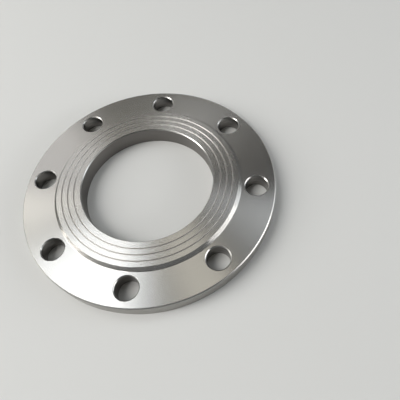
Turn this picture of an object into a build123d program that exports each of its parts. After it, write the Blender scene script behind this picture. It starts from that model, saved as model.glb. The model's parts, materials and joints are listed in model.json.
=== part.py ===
from build123d import *
import math
import os

# A slip-on flange: one flat steel ring, turned and drilled, that slides over the end
# of a pipe. Its raised face has thin grooves that bite into the gasket.
#
# It lies on its back with the raised face up. The origin is on the axis of the bore,
# in the plane of the back face. Lengths are in millimetres and angles in degrees.

# Bore, which the pipe slides into with a little play all round
pipe_diameter = 108.0
pipe_play = 1.0
bore_chamfer = 0.75

# Raised face, from the bore's wall out to its edge, and its wall, which leans outwards
gasket_face_width = 20.5
raised_height = 3.0
raised_wall_spread = 2.5
raised_foot_fillet = 0.6

# Gasket grooves, cut with a pointed tool, as many as the raised face has room for
groove_width = 1.0
groove_angle = 80.0
groove_pitch = 5.0
groove_margin = 4.5

# Bolt holes, evenly spaced, with the metal left beside them on the plate
bolt_count = 8
bolt_diameter = 16.0
bolt_play = 1.0
bolt_hole_chamfer = 0.8
land_inside_holes = 3.0
land_outside_holes = 6.0

# Plate
plate_thickness = 13.0
rim_chamfer = 0.8

# Radii from the axis outwards, which put the holes on the standard 180 mm bolt circle
bore_radius = pipe_diameter / 2 + pipe_play
raised_radius = bore_radius + gasket_face_width
raised_foot_radius = raised_radius + raised_wall_spread
bolt_hole_radius = bolt_diameter / 2 + bolt_play
bolt_circle_radius = raised_foot_radius + land_inside_holes + bolt_hole_radius
outer_radius = bolt_circle_radius + bolt_hole_radius + land_outside_holes

# Height over the raised face, and the angle that makes the holes straddle the centre lines
full_thickness = plate_thickness + raised_height
first_bolt_angle = 360 / bolt_count / 2

# Groove radii, from the outermost inwards
groove_half_width = groove_width / 2
groove_depth = groove_half_width / math.tan(math.radians(groove_angle / 2))
outermost_groove_radius = raised_radius - groove_margin
grooved_width = outermost_groove_radius - (bore_radius + bore_chamfer + groove_margin)
groove_count = math.floor(grooved_width / groove_pitch) + 1
groove_radii = [outermost_groove_radius - step * groove_pitch for step in range(groove_count)]

with BuildPart() as flange:
    # Ring with its raised face, turned from one half section
    with BuildSketch(Plane.XZ):
        with BuildLine():
            Polyline(
                (bore_radius, 0),
                (outer_radius, 0),
                (outer_radius, plate_thickness),
                (raised_foot_radius, plate_thickness),
                (raised_radius, full_thickness),
                (bore_radius, full_thickness),
                close=True,
            )
        make_face()
    revolve(axis=Axis.Z)

    # Broken edges at the bore and the rim, and the tool's radius at the raised foot
    turned_edges = flange.edges().filter_by(GeomType.CIRCLE).group_by(SortBy.RADIUS)
    bore_edges = turned_edges[0]
    foot_edges = turned_edges[-2]
    rim_edges = turned_edges[-1]
    chamfer(bore_edges, bore_chamfer)
    fillet(foot_edges, raised_foot_fillet)
    chamfer(rim_edges, rim_chamfer)

    # Gasket grooves, each a small triangle carried once round the axis
    for groove_radius in groove_radii:
        with BuildSketch(Plane.XZ):
            with BuildLine():
                Polyline(
                    (groove_radius - groove_half_width, full_thickness),
                    (groove_radius, full_thickness - groove_depth),
                    (groove_radius + groove_half_width, full_thickness),
                    close=True,
                )
            make_face()
        revolve(axis=Axis.Z, mode=Mode.SUBTRACT)

    # Bolt holes through the plate, with their edges broken on both sides
    with PolarLocations(bolt_circle_radius, bolt_count, start_angle=first_bolt_angle):
        Hole(bolt_hole_radius)
    chamfer(flange.edges(Select.LAST).filter_by(GeomType.CIRCLE), bolt_hole_chamfer)

flange.part.label = "flange"
os.makedirs("parts", exist_ok=True)
export_step(flange.part, "parts/flange.step")
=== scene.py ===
"""A slip-on flange: one turned and drilled steel ring, lying face up in a plain studio.

The ring is a closed surface of grids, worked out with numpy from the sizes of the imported
model. Its finishes are turned steel: fine marks run round the axis of the bore, so every
reflection is drawn out across them.
"""

from __future__ import annotations

import json
import logging
import math
from collections.abc import Mapping
from dataclasses import dataclass, field
from enum import Enum
from typing import Any

import bpy
import numpy as np
from mathutils import Matrix, Vector


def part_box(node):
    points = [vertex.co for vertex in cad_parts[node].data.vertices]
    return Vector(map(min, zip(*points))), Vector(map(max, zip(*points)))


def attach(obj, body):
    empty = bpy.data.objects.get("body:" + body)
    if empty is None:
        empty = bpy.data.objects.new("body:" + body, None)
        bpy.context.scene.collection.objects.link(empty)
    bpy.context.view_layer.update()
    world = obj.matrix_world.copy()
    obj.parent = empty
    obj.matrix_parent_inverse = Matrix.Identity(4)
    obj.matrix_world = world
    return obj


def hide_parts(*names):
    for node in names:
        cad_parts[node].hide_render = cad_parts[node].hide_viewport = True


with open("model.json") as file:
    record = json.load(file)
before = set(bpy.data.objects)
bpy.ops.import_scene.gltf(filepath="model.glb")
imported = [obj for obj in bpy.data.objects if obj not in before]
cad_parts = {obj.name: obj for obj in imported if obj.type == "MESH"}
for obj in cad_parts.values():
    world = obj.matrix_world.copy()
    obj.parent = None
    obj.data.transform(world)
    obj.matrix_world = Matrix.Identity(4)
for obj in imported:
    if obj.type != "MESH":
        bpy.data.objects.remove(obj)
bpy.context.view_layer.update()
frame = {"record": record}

log = logging.getLogger("flange")

MM = 0.001
NODE = "flange"
BODY = "root"
QUARTER_TURN = 0.25
NOISE_MIDDLE = 0.5

Colour = tuple[float, float, float]


class Face(Enum):
    """The faces of the flange that look different, in the order of its material slots."""

    PLATE = 0
    RAISED = 1
    RAISED_WALL = 2
    GROOVE = 3
    BORE = 4
    RIM = 5
    BOLT_HOLE = 6
    BROKEN_EDGE = 7


@dataclass(frozen=True)
class Signal:
    """A value that a node puts out. Each operator on it adds one Math node."""

    graph: NodeGraph
    socket: bpy.types.NodeSocket

    def __add__(self, other: Signal | float) -> Signal:
        """Add."""
        return self.graph.maths("ADD", self, other)

    def __radd__(self, other: float) -> Signal:
        """Add to a number."""
        return self.graph.maths("ADD", other, self)

    def __sub__(self, other: Signal | float) -> Signal:
        """Take away."""
        return self.graph.maths("SUBTRACT", self, other)

    def __rsub__(self, other: float) -> Signal:
        """Take away from a number."""
        return self.graph.maths("SUBTRACT", other, self)

    def __mul__(self, other: Signal | float) -> Signal:
        """Multiply."""
        return self.graph.maths("MULTIPLY", self, other)

    def __rmul__(self, other: float) -> Signal:
        """Multiply a number."""
        return self.graph.maths("MULTIPLY", other, self)

    def __truediv__(self, other: Signal | float) -> Signal:
        """Divide."""
        return self.graph.maths("DIVIDE", self, other)

    def __rtruediv__(self, other: float) -> Signal:
        """Divide a number by it."""
        return self.graph.maths("DIVIDE", other, self)

    def other(self, output: int | str) -> Signal:
        """Give another output of the same node."""
        return Signal(self.graph, self.socket.node.outputs[output])


@dataclass(frozen=True)
class NodeGraph:
    """The nodes of one material, or of the world."""

    tree: bpy.types.NodeTree

    @classmethod
    def empty(cls, owner: bpy.types.Material | bpy.types.World) -> NodeGraph:
        """Switch a material's or world's nodes on and clear them."""
        owner.use_nodes = True
        owner.node_tree.nodes.clear()
        return cls(owner.node_tree)

    def node(
        self,
        kind: str,
        settings: Mapping[str, Any] | None = None,
        inputs: Mapping[int | str, Any] | None = None,
        output: int | str = 0,
    ) -> Signal:
        """Add a node.

        Args:
            kind: Blender's name for the type of node.
            settings: Properties of the node, set before its sockets.
            inputs: Socket name or number to a value, or to the signal that feeds it.
            output: Socket that the signal comes from.

        Returns:
            The node's signal.
        """
        made = self.tree.nodes.new(kind)
        for name, setting in (settings or {}).items():
            setattr(made, name, setting)
        for name, value in (inputs or {}).items():
            if isinstance(value, Signal):
                self.tree.links.new(value.socket, made.inputs[name])
            else:
                made.inputs[name].default_value = value
        return Signal(self, made.outputs[output])

    def maths(self, operation: str, first: Signal | float, second: Signal | float) -> Signal:
        """Add a Math node of two values."""
        return self.node("ShaderNodeMath", {"operation": operation}, {0: first, 1: second})

    def blend(self, first: Colour | Signal, second: Colour | Signal, share: Signal | float) -> Signal:
        """Mix two colours, from the first at share 0 to the second at share 1."""
        ends = [end if isinstance(end, Signal) else (*end, 1) for end in (first, second)]
        return self.node(
            "ShaderNodeMix",
            {"data_type": "RGBA"},
            {"Factor": share, "A": ends[0], "B": ends[1]},
            "Result",
        )

    def end(self, shader: Signal, kind: str = "ShaderNodeOutputMaterial") -> None:
        """Lead the finished shader to an output node."""
        self.tree.links.new(shader.socket, self.tree.nodes.new(kind).inputs["Surface"])


@dataclass(frozen=True)
class TurnedSteel:
    """Bare steel cut on a lathe, with its marks running round the axis of the bore.

    A face has no direction of its own set: with nothing led to its tangent, the shader takes
    the direction round the piece's upright axis, and a quarter turn puts the blur across it.
    Lengths are in millimetres.
    """

    name: str
    colour: Colour
    roughness: float
    anisotropy: float = 0.89
    mark_pitch: float = 0.45
    mark_depth: float = 0.0005
    band_pitch: float = 2.2
    band_tint: float = 0.03
    band_contrast: float = 2.0
    band_roughness: float = 0.03
    streaks_round: float = 4.0
    noise_detail: float = 2.0
    noise_roughness: float = 0.6

    def marks(self, graph: NodeGraph, pitch: float) -> Signal:
        """Noise drawn out along the marks of the tool.

        It is noise in four dimensions of radius and height, both over the pitch, and of the
        cosine and sine of the angle, so it changes fast across the marks, slowly along them,
        and closes on itself after a turn.

        Args:
            graph: Graph that takes the nodes.
            pitch: Millimetres from one mark to the next.

        Returns:
            Signal from about 0.2 to 0.8, with 0.5 in the middle.
        """
        place = graph.node("ShaderNodeTexCoord", output="Object")
        place = graph.node(
            "ShaderNodeVectorMath", {"operation": "SCALE"}, {0: place, "Scale": 1 / MM}
        )
        x = graph.node("ShaderNodeSeparateXYZ", inputs={0: place}, output="X")
        y, z = x.other("Y"), x.other("Z")
        level = graph.node("ShaderNodeVectorMath", {"operation": "MULTIPLY"}, {0: place, 1: (1, 1, 0)})
        radius = graph.node("ShaderNodeVectorMath", {"operation": "LENGTH"}, {0: level}, "Value")
        cosine = x / radius * self.streaks_round
        sine = y / radius * self.streaks_round
        across = graph.node("ShaderNodeCombineXYZ", inputs={0: radius / pitch, 1: z / pitch, 2: cosine})
        return graph.node(
            "ShaderNodeTexNoise",
            {"noise_dimensions": "4D"},
            {
                "Vector": across,
                "W": sine,
                "Scale": 1.0,
                "Detail": self.noise_detail,
                "Roughness": self.noise_roughness,
            },
        )

    def material(self) -> bpy.types.Material:
        """Make the finish's material.

        Returns:
            Metal whose colour and roughness follow the broad bands, and whose bump follows
            the fine marks.
        """
        made = bpy.data.materials.new(self.name)
        graph = NodeGraph.empty(made)
        band = self.marks(graph, self.band_pitch) - NOISE_MIDDLE
        fine = self.marks(graph, self.mark_pitch)
        pale = tuple(share * (1 + self.band_tint) for share in self.colour)
        dark = tuple(share * (1 - self.band_tint) for share in self.colour)
        colour = graph.blend(dark, pale, band * self.band_contrast + NOISE_MIDDLE)
        bump = graph.node(
            "ShaderNodeBump",
            inputs={"Strength": 1.0, "Distance": self.mark_depth * MM, "Height": fine},
        )
        shader = graph.node(
            "ShaderNodeBsdfPrincipled",
            inputs={
                "Base Color": colour,
                "Metallic": 1.0,
                "Roughness": band * self.band_roughness + self.roughness,
                "Anisotropic": self.anisotropy,
                "Anisotropic Rotation": QUARTER_TURN,
                "Normal": bump,
            },
        )
        graph.end(shader)
        return made


@dataclass(frozen=True)
class DrilledSteel(TurnedSteel):
    """Bare steel cut by a drill, with its marks running round an upright hole."""

    anisotropy: float = 0.0
    mark_pitch: float = 1.1
    mark_depth: float = 0.03
    band_pitch: float = 1.6
    band_tint: float = 0.25
    level_pitch: float = 10.0

    def marks(self, graph: NodeGraph, pitch: float) -> Signal:
        """Noise in flat layers.

        It is noise of the height over the pitch and of both level coordinates over the level
        pitch, which is longer, so it changes fast with height and slowly round the hole.

        Args:
            graph: Graph that takes the nodes.
            pitch: Millimetres from one mark to the next.

        Returns:
            Signal from about 0.2 to 0.8, with 0.5 in the middle.
        """
        place = graph.node("ShaderNodeTexCoord", output="Object")
        level = 1 / (self.level_pitch * MM)
        stretch = (level, level, 1 / (pitch * MM))
        layers = graph.node("ShaderNodeVectorMath", {"operation": "MULTIPLY"}, {0: place, 1: stretch})
        return graph.node(
            "ShaderNodeTexNoise",
            inputs={
                "Vector": layers,
                "Scale": 1.0,
                "Detail": self.noise_detail,
                "Roughness": self.noise_roughness,
            },
        )


# Colours of the faces. The plate and the raised face have the steel's own colour; the darker raised
# wall, grooves, bore, rim and bolt holes are the same steel holding painted shade.
FINISHES_AND_PAINTED_SHADE = {
    Face.PLATE: TurnedSteel("plate_face", (0.63, 0.61, 0.59), roughness=0.26),
    Face.RAISED: TurnedSteel("raised_face", (0.65, 0.63, 0.61), roughness=0.27),
    # The raised wall is the same steel made darker: painted shade on the step's wall.
    Face.RAISED_WALL: TurnedSteel("raised_wall", (0.45, 0.44, 0.42), roughness=0.27),
    # The grooves are the same steel made darker: painted shade in the grooves. Their higher roughness
    # and lower anisotropy are the cut's own.
    Face.GROOVE: TurnedSteel("gasket_groove", (0.56, 0.54, 0.52), roughness=0.47, anisotropy=0.5),
    # The bore is the same steel made much darker: painted shade down the bore, with a little of it a
    # duller cut.
    Face.BORE: TurnedSteel("bore", (0.21, 0.20, 0.19), roughness=0.3),
    # The rim is the same steel made darker: a painted dark reflection of the ground round the flange,
    # with a little of it a rougher turned finish.
    Face.RIM: TurnedSteel("rim", (0.40, 0.39, 0.37), roughness=0.28),
    # The bolt holes are the same steel made darker: painted shade inside the holes.
    Face.BOLT_HOLE: DrilledSteel("bolt_hole", (0.30, 0.29, 0.28), roughness=0.24),
    Face.BROKEN_EDGE: TurnedSteel("broken_edge", (0.52, 0.51, 0.49), roughness=0.3, anisotropy=0.5),
}


@dataclass(frozen=True)
class FlangeSizes:
    """The flange's sizes in millimetres.

    The bore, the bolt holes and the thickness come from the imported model, and the rest are
    the sizes of the part's own source.
    """

    bore_radius: float
    bolt_circle_radius: float
    hole_radius: float
    hole_count: int
    thickness: float
    gasket_face_width: float = 20.5
    raised_height: float = 3.0
    raised_wall_spread: float = 2.5
    raised_foot_fillet: float = 0.6
    land_outside_holes: float = 6.0
    bore_chamfer: float = 0.75
    rim_chamfer: float = 0.8
    hole_chamfer: float = 0.8
    groove_width: float = 1.0
    groove_depth: float = 0.6
    groove_pitch: float = 5.0
    groove_margin: float = 4.5
    groove_count: int = 3

    @classmethod
    def from_frame(cls) -> FlangeSizes:
        """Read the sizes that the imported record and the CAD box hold."""
        mounts = {mount["name"]: mount["dims"] for mount in frame["record"]["mounts"]}
        low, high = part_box(NODE)
        return cls(
            bore_radius=mounts["bore"]["r_mm"],
            bolt_circle_radius=mounts["bolt_circle"]["pcd_mm"] / 2,
            hole_radius=mounts["bolt_circle"]["hole_r_mm"],
            hole_count=mounts["bolt_circle"]["count"],
            thickness=round((high.z - low.z) / MM, 3),
        )

    @property
    def plate_thickness(self) -> float:
        """Height of the plate's face over the back face."""
        return self.thickness - self.raised_height

    @property
    def raised_radius(self) -> float:
        """Radius of the raised face at its edge."""
        return self.bore_radius + self.gasket_face_width

    @property
    def foot_radius(self) -> float:
        """Radius of the raised wall where it meets the plate."""
        return self.raised_radius + self.raised_wall_spread

    @property
    def outer_radius(self) -> float:
        """Radius of the rim."""
        return self.bolt_circle_radius + self.hole_radius + self.land_outside_holes

    @property
    def groove_radii(self) -> list[float]:
        """Radii of the gasket grooves, from the innermost outwards."""
        outermost = self.raised_radius - self.groove_margin
        steps = reversed(range(self.groove_count))
        return [outermost - step * self.groove_pitch for step in steps]


@dataclass(frozen=True)
class Rounding:
    """How a corner of a section line is rounded: its radius in millimetres, and its facets."""

    radius: float
    facets: int


@dataclass
class SectionLine:
    """A line in the plane of radius and height, with a face of the flange on each stretch.

    Inner corners are rounded by short arcs. Each arc has a guard point a little way off on
    both sides, so that the shading of the flat stretches stays flat. Lengths are in
    millimetres.
    """

    points: list[np.ndarray]
    faces: list[Face] = field(default_factory=list)
    roundings: list[Rounding] = field(default_factory=list)
    softening: Rounding = Rounding(0.1, 2)
    guard: float = 0.05

    @classmethod
    def start(cls, radius: float, height: float) -> SectionLine:
        """Begin a line at a point."""
        return cls([np.array([radius, height])])

    def to(
        self, radius: float, height: float, face: Face, rounding: Rounding | None = None
    ) -> SectionLine:
        """Run a straight stretch to a point.

        Args:
            radius: Distance of the point from the axis.
            height: Height of the point over the back face.
            face: Face of the flange that the stretch belongs to.
            rounding: Rounding of the corner at the point, where it isn't the usual one.

        Returns:
            The line itself.
        """
        self.points.append(np.array([radius, height]))
        self.faces.append(face)
        self.roundings.append(rounding or self.softening)
        return self

    def rounded(self) -> tuple[np.ndarray, np.ndarray]:
        """Round the inner corners of the line.

        Each corner becomes a circular arc that touches both of its stretches. Its points are
        its centre less the radius times a direction, which turns evenly from the normal of
        the one stretch to the normal of the other.

        Returns:
            The points as rows of radius and height, and the face number of each stretch.
        """
        line = [self.points[:1]]
        numbers: list[int] = []
        for corner, rounding in enumerate(self.roundings[:-1], 1):
            before, here, after = self.points[corner - 1 : corner + 2]
            into = (here - before) / np.linalg.norm(here - before)
            out = (after - here) / np.linalg.norm(after - here)
            turn = math.acos(float(np.clip(into @ out, -1, 1)))
            side = math.copysign(1.0, into[0] * out[1] - into[1] * out[0])
            normal = side * np.array([-into[1], into[0]])
            reach = rounding.radius * math.tan(turn / 2)
            centre = here - reach * into + rounding.radius * normal
            angle = np.linspace(0.0, turn, rounding.facets + 1)[:, None]
            arc = centre - rounding.radius * (np.cos(angle) * normal - np.sin(angle) * into)
            aside = reach + self.guard
            line += [(here - aside * into)[None], arc, (here + aside * out)[None]]
            first, second = self.faces[corner - 1].value, self.faces[corner].value
            half = rounding.facets // 2
            numbers += [first] * (2 + half) + [second] * (rounding.facets - half + 1)
        line.append(self.points[-1:])
        numbers.append(self.faces[-1].value)
        return np.concatenate(line), np.array(numbers)


@dataclass
class SurfaceMesh:
    """Grids of quads in millimetres, gathered into one closed mesh."""

    points: list[np.ndarray] = field(default_factory=list)
    quads: list[np.ndarray] = field(default_factory=list)
    faces: list[np.ndarray] = field(default_factory=list)
    weld: float = 1e-4

    def add_grid(self, grid: np.ndarray, faces: np.ndarray) -> None:
        """Add a grid of points as quads, with its last column joined to its first.

        The quad at row i and column j joins the points (i, j), (i+1, j), (i+1, j+1) and
        (i, j+1).

        Args:
            grid: Points, shaped (rows, columns, 3).
            faces: Face number of each row of quads.
        """
        rows, columns = grid.shape[:2]
        start = sum(len(block) for block in self.points)
        index = np.arange(rows * columns).reshape(rows, columns) + start
        beside = np.roll(index, -1, axis=1)
        corners = np.stack([index[:-1], index[1:], beside[1:], beside[:-1]], axis=-1)
        self.points.append(grid.reshape(-1, 3))
        self.quads.append(corners.reshape(-1, 4))
        self.faces.append(np.repeat(faces, columns))

    def build(self, name: str) -> bpy.types.Mesh:
        """Weld the grids where they meet and make the mesh.

        Points whose coordinates, rounded to the weld distance, are equal become one.

        Args:
            name: Name of the mesh.

        Returns:
            The mesh in metres, smooth, with each quad in the slot of its face.
        """
        points = np.concatenate(self.points)
        keys = np.round(points / self.weld).astype(np.int64)
        _, first, index = np.unique(keys, axis=0, return_index=True, return_inverse=True)
        quads = index.reshape(-1)[np.concatenate(self.quads)]
        mesh = bpy.data.meshes.new(name)
        mesh.from_pydata(points[first] * MM, [], quads)
        slots = np.concatenate(self.faces).astype(np.int32)
        mesh.polygons.foreach_set("material_index", slots)
        mesh.polygons.foreach_set("use_smooth", np.ones(len(quads), dtype=bool))
        mesh.update()
        return mesh


@dataclass
class TurnedFlange:
    """The flange as one closed surface, with a finish on each of its faces."""

    sizes: FlangeSizes
    columns_per_hole: int = 48
    side_columns: int = 16
    web_rows: int = 5
    collar: float = 0.2

    @property
    def web_inner_radius(self) -> float:
        """Radius where the web of quads round the bolt holes begins."""
        return self.sizes.foot_radius + self.sizes.raised_foot_fillet

    @property
    def web_outer_radius(self) -> float:
        """Radius where the web of quads round the bolt holes ends."""
        return self.sizes.outer_radius - self.sizes.rim_chamfer - self.collar

    def inner_line(self) -> SectionLine:
        """Section from the back face up the bore and over the raised face to the plate."""
        s = self.sizes
        top = s.thickness
        line = SectionLine.start(self.web_inner_radius, 0)
        line.to(s.bore_radius + s.bore_chamfer, 0, Face.PLATE)
        line.to(s.bore_radius, s.bore_chamfer, Face.BROKEN_EDGE)
        line.to(s.bore_radius, top - s.bore_chamfer, Face.BORE)
        line.to(s.bore_radius + s.bore_chamfer, top, Face.BROKEN_EDGE)
        for radius in s.groove_radii:
            line.to(radius - s.groove_width / 2, top, Face.RAISED)
            line.to(radius, top - s.groove_depth, Face.GROOVE)
            line.to(radius + s.groove_width / 2, top, Face.GROOVE)
        line.to(s.raised_radius, top, Face.RAISED)
        foot = Rounding(s.raised_foot_fillet, 8)
        line.to(s.foot_radius, s.plate_thickness, Face.RAISED_WALL, foot)
        return line.to(self.web_inner_radius, s.plate_thickness, Face.PLATE)

    def rim_line(self) -> SectionLine:
        """Section from the plate's face down the rim to the back face."""
        s = self.sizes
        line = SectionLine.start(self.web_outer_radius, s.plate_thickness)
        line.to(s.outer_radius - s.rim_chamfer, s.plate_thickness, Face.PLATE)
        line.to(s.outer_radius, s.plate_thickness - s.rim_chamfer, Face.BROKEN_EDGE)
        line.to(s.outer_radius, s.rim_chamfer, Face.RIM)
        line.to(s.outer_radius - s.rim_chamfer, 0, Face.BROKEN_EDGE)
        return line.to(self.web_outer_radius, 0, Face.PLATE)

    def hole_line(self) -> SectionLine:
        """Section of a bolt hole from the back face up to the plate's face."""
        s = self.sizes
        mouth = s.hole_radius + s.hole_chamfer
        line = SectionLine.start(mouth + self.collar, 0)
        line.to(mouth, 0, Face.PLATE)
        line.to(s.hole_radius, s.hole_chamfer, Face.BROKEN_EDGE)
        line.to(s.hole_radius, s.plate_thickness - s.hole_chamfer, Face.BOLT_HOLE)
        line.to(mouth, s.plate_thickness, Face.BROKEN_EDGE)
        return line.to(mouth + self.collar, s.plate_thickness, Face.PLATE)

    def add_turned(self, surface: SurfaceMesh, section: SectionLine) -> None:
        """Carry a section line round the axis of the bore.

        A point at radius r and height z goes to (r cos a, r sin a, z) for every angle a.

        Args:
            surface: Mesh that takes the grid.
            section: Line that is carried round.
        """
        line, faces = section.rounded()
        angle = np.linspace(0, 2 * np.pi, self.columns_per_hole * self.sizes.hole_count + 1)[:-1]
        radius, height = line[:, :1], line[:, 1:]
        grid = [radius * np.cos(angle), radius * np.sin(angle), height + 0 * angle]
        surface.add_grid(np.stack(grid, axis=-1), faces)

    def sector_edge(self, middle: float) -> np.ndarray:
        """Edge of one bolt hole's sector of the plate, counter-clockwise.

        It runs out along one side, round the outer arc, in along the other side and back
        round the inner arc. The points of the sides are at even radii, and those of the arcs
        are at the angles of the turned faces' columns.

        Args:
            middle: Angle of the hole, in radians.

        Returns:
            Points in the plane as rows of x and y, without a closing one.
        """
        half = np.pi / self.sizes.hole_count
        inner, outer = self.web_inner_radius, self.web_outer_radius
        sweep = np.linspace(middle - half, middle + half, self.columns_per_hole + 1)
        reach = np.linspace(inner, outer, self.side_columns + 1)
        sides = np.ones(self.side_columns)
        arcs = np.ones(self.columns_per_hole)
        radius = np.concatenate([reach[:-1], outer * arcs, reach[:0:-1], inner * arcs])
        angle = np.concatenate([sweep[0] * sides, sweep[:-1], sweep[-1] * sides, sweep[:0:-1]])
        return np.stack([radius * np.cos(angle), radius * np.sin(angle)], axis=-1)

    def add_hole(self, surface: SurfaceMesh, number: int) -> None:
        """Add one bolt hole with its sector of the plate's two faces.

        The hole's columns point from its axis at the points of the sector's edge, and the
        web between them is a straight blend from the hole's collar to that edge.

        Args:
            surface: Mesh that takes the grids.
            number: Which hole, counted from the +X axis.
        """
        s = self.sizes
        middle = (number + 0.5) * 2 * np.pi / s.hole_count
        axis = s.bolt_circle_radius * np.array([math.cos(middle), math.sin(middle)])
        edge = self.sector_edge(middle)
        outwards = (edge - axis) / np.linalg.norm(edge - axis, axis=1, keepdims=True)
        line, faces = self.hole_line().rounded()
        ring = axis + line[:, None, :1] * outwards
        height = np.broadcast_to(line[:, None, 1:], (len(line), len(edge), 1))
        surface.add_grid(np.concatenate([ring, height], axis=-1), faces)
        share = np.linspace(0, 1, self.web_rows + 1)[:, None, None]
        web = (1 - share) * ring[-1] + share * edge
        plain = np.full(self.web_rows, Face.PLATE.value)
        level = np.zeros((*web.shape[:2], 1))
        surface.add_grid(np.concatenate([web, level + s.plate_thickness], axis=-1), plain)
        surface.add_grid(np.concatenate([web, level], axis=-1)[::-1], plain)

    def build(self) -> bpy.types.Object:
        """Build the flange and dress it.

        Returns:
            The flange's object, which stands for the CAD node.
        """
        surface = SurfaceMesh()
        self.add_turned(surface, self.inner_line())
        self.add_turned(surface, self.rim_line())
        for number in range(self.sizes.hole_count):
            self.add_hole(surface, number)
        mesh = surface.build("turned_flange")
        for face in Face:
            mesh.materials.append(FINISHES_AND_PAINTED_SHADE[face].material())
        piece = bpy.data.objects.new("turned_flange", mesh)
        bpy.context.scene.collection.objects.link(piece)
        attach(piece, BODY)
        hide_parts(NODE)
        log.info("%s: %d faces", piece.name, len(mesh.polygons))
        return piece


@dataclass(frozen=True)
class SoftLamp:
    """A wide lamp that faces the flange.

    Azimuth runs from +X towards +Y and elevation upwards from the floor, and the roll turns
    the lamp about the line from the flange to it, all in degrees. Width, height and distance
    are in metres, and the power is in watts.
    """

    name: str
    azimuth: float
    elevation: float
    width: float
    height: float
    roll: float
    power: float
    tint: Colour
    distance: float = 2.4

    def build(self) -> bpy.types.Object:
        """Hang the lamp in its place, turned towards the origin."""
        light = bpy.data.lights.new(self.name, "AREA")
        light.shape = "RECTANGLE"
        light.size, light.size_y = self.width, self.height
        light.energy = self.power
        light.color = self.tint
        lamp = bpy.data.objects.new(self.name, light)
        azimuth, elevation = math.radians(self.azimuth), math.radians(self.elevation)
        level = math.cos(elevation)
        away = Vector((level * math.cos(azimuth), level * math.sin(azimuth), math.sin(elevation)))
        lamp.location = self.distance * away
        turn = away.to_track_quat("Z", "Y").to_matrix()
        roll = Matrix.Rotation(math.radians(self.roll), 3, "Z")
        lamp.rotation_euler = (turn @ roll).to_euler()
        lamp.visible_camera = False
        bpy.context.scene.collection.objects.link(lamp)
        log.info("%s: %.1f W", self.name, self.power)
        return lamp


@dataclass(frozen=True)
class Studio:
    """A round pale floor in a grey room with a dark ceiling, lit by soft lamps.

    The floor's radius is in metres, and the heights where the walls end and the ceiling
    begins are the upward parts of unit directions.
    """

    lamps: tuple[SoftLamp, ...]
    floor_colour: Colour = (0.72, 0.72, 0.71)
    floor_radius: float = 1.5
    floor_columns: int = 96
    floor_rings: tuple[float, ...] = (0.0, 0.25, 1.0)
    floor_roughness: float = 0.8
    floor_shine: float = 0.2
    wall_colour: Colour = (0.34, 0.35, 0.36)
    ceiling_colour: Colour = (0.03, 0.03, 0.03)
    wall_top: float = 0.2
    ceiling_edge: float = 0.5

    def build_floor(self) -> bpy.types.Object:
        """Lay the floor under the flange.

        It is a disc of rings, each a share of the floor's radius. The point at ring radius r
        and angle a is (r cos a, r sin a, 0), and the innermost ring is drawn in to the middle.

        Returns:
            The floor.
        """
        angle = np.linspace(0, 2 * np.pi, self.floor_columns + 1)[:-1]
        radius = self.floor_radius / MM * np.array(self.floor_rings)[:, None]
        grid = np.stack([radius * np.cos(angle), radius * np.sin(angle), 0 * radius * angle], axis=-1)
        surface = SurfaceMesh()
        surface.add_grid(grid, np.zeros(len(self.floor_rings) - 1, dtype=int))
        mesh = surface.build("studio_floor")
        paint = bpy.data.materials.new("floor_paint")
        graph = NodeGraph.empty(paint)
        shader = graph.node(
            "ShaderNodeBsdfPrincipled",
            inputs={
                "Base Color": (*self.floor_colour, 1),
                "Roughness": self.floor_roughness,
                "Specular IOR Level": self.floor_shine,
            },
        )
        graph.end(shader)
        mesh.materials.append(paint)
        floor = bpy.data.objects.new("studio_floor", mesh)
        bpy.context.scene.collection.objects.link(floor)
        return floor

    def build_room(self) -> None:
        """Make the world: grey walls up to a height, and from there a fade to the ceiling."""
        world = bpy.data.worlds.new("studio_room")
        bpy.context.scene.world = world
        graph = NodeGraph.empty(world)
        place = graph.node("ShaderNodeTexCoord", output="Object")
        up = graph.node("ShaderNodeSeparateXYZ", inputs={0: place}, output="Z")
        rise = graph.node(
            "ShaderNodeMapRange",
            {"interpolation_type": "SMOOTHSTEP"},
            {"Value": up, "From Min": self.wall_top, "From Max": self.ceiling_edge},
        )
        colour = graph.blend(self.wall_colour, self.ceiling_colour, rise)
        graph.end(
            graph.node("ShaderNodeBackground", inputs={"Color": colour, "Strength": 1.0}),
            "ShaderNodeOutputWorld",
        )

    def build(self) -> None:
        """Build the floor and the room, and hang the lamps."""
        self.build_floor()
        self.build_room()
        for lamp in self.lamps:
            lamp.build()


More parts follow.
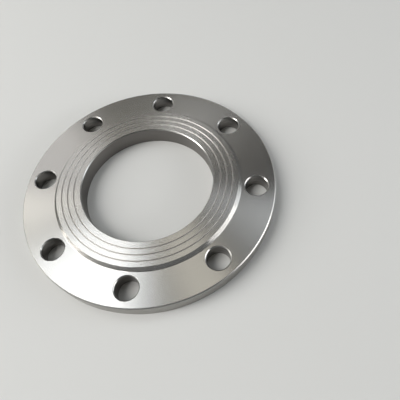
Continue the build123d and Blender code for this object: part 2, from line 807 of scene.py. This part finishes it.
@dataclass(frozen=True)
class PhotoCamera:
    """The photograph's view of the flange. Lengths are in millimetres, angles in degrees."""

    place: tuple[float, float, float] = (13.91, -185.81, 264.90)
    target: tuple[float, float, float] = (36.30, -31.72, 13.0)
    roll: float = -10.28
    lens: float = 33.56

    def build(self) -> bpy.types.Object:
        """Place the camera, look at the target and turn it round its own axis."""
        lens = bpy.data.cameras.new("photo_camera")
        lens.lens = self.lens
        camera = bpy.data.objects.new("photo_camera", lens)
        place = Vector(self.place) * MM
        away = place - Vector(self.target) * MM
        turn = away.to_track_quat("Z", "Y").to_matrix()
        roll = Matrix.Rotation(math.radians(self.roll), 3, "Z")
        camera.matrix_world = Matrix.Translation(place) @ (turn @ roll).to_4x4()
        bpy.context.scene.collection.objects.link(camera)
        bpy.context.scene.camera = camera
        return camera


# Tints of the lamps, from the coolest to the warmest
COOL_LIGHT = (0.90, 0.96, 1.0)
PLAIN_LIGHT = (1.0, 1.0, 1.0)
MILD_LIGHT = (1.0, 0.99, 0.96)
WARM_LIGHT = (1.0, 0.98, 0.87)

# Name, azimuth, elevation, width, height, roll, power and tint
LAMPS = (
    SoftLamp("left_lamp", 175, 41, 2.6, 0.8, 73, 56.0, MILD_LIGHT),
    SoftLamp("left_far_lamp", 139, 42, 1.0, 0.5, 5, 2.4, WARM_LIGHT),
    SoftLamp("far_lamp", 113, 44, 0.85, 0.5, 42, 2.0, PLAIN_LIGHT),
    SoftLamp("high_far_lamp", 124, 63, 0.5, 0.8, 5, 4.2, COOL_LIGHT),
    SoftLamp("high_right_lamp", 33, 59, 1.4, 0.5, 40, 1.8, COOL_LIGHT),
    SoftLamp("top_lamp", 80, 77, 0.5, 2.2, 25, 2.8, WARM_LIGHT),
    SoftLamp("right_lamp", 0, 22, 0.75, 1.8, 0, 10.0, COOL_LIGHT),
    SoftLamp("low_right_lamp", 331, 16, 1.85, 0.5, -25, 16.7, PLAIN_LIGHT),
)


def main() -> None:
    """Build the flange, which logs its face count, the studio and the camera, and set the Standard view
    transform.
    """
    logging.basicConfig(level=logging.INFO, format="%(name)s: %(message)s")
    TurnedFlange(FlangeSizes.from_frame()).build()
    Studio(LAMPS).build()
    PhotoCamera().build()
    bpy.context.scene.view_settings.view_transform = "Standard"


if __name__ == "__main__":
    main()
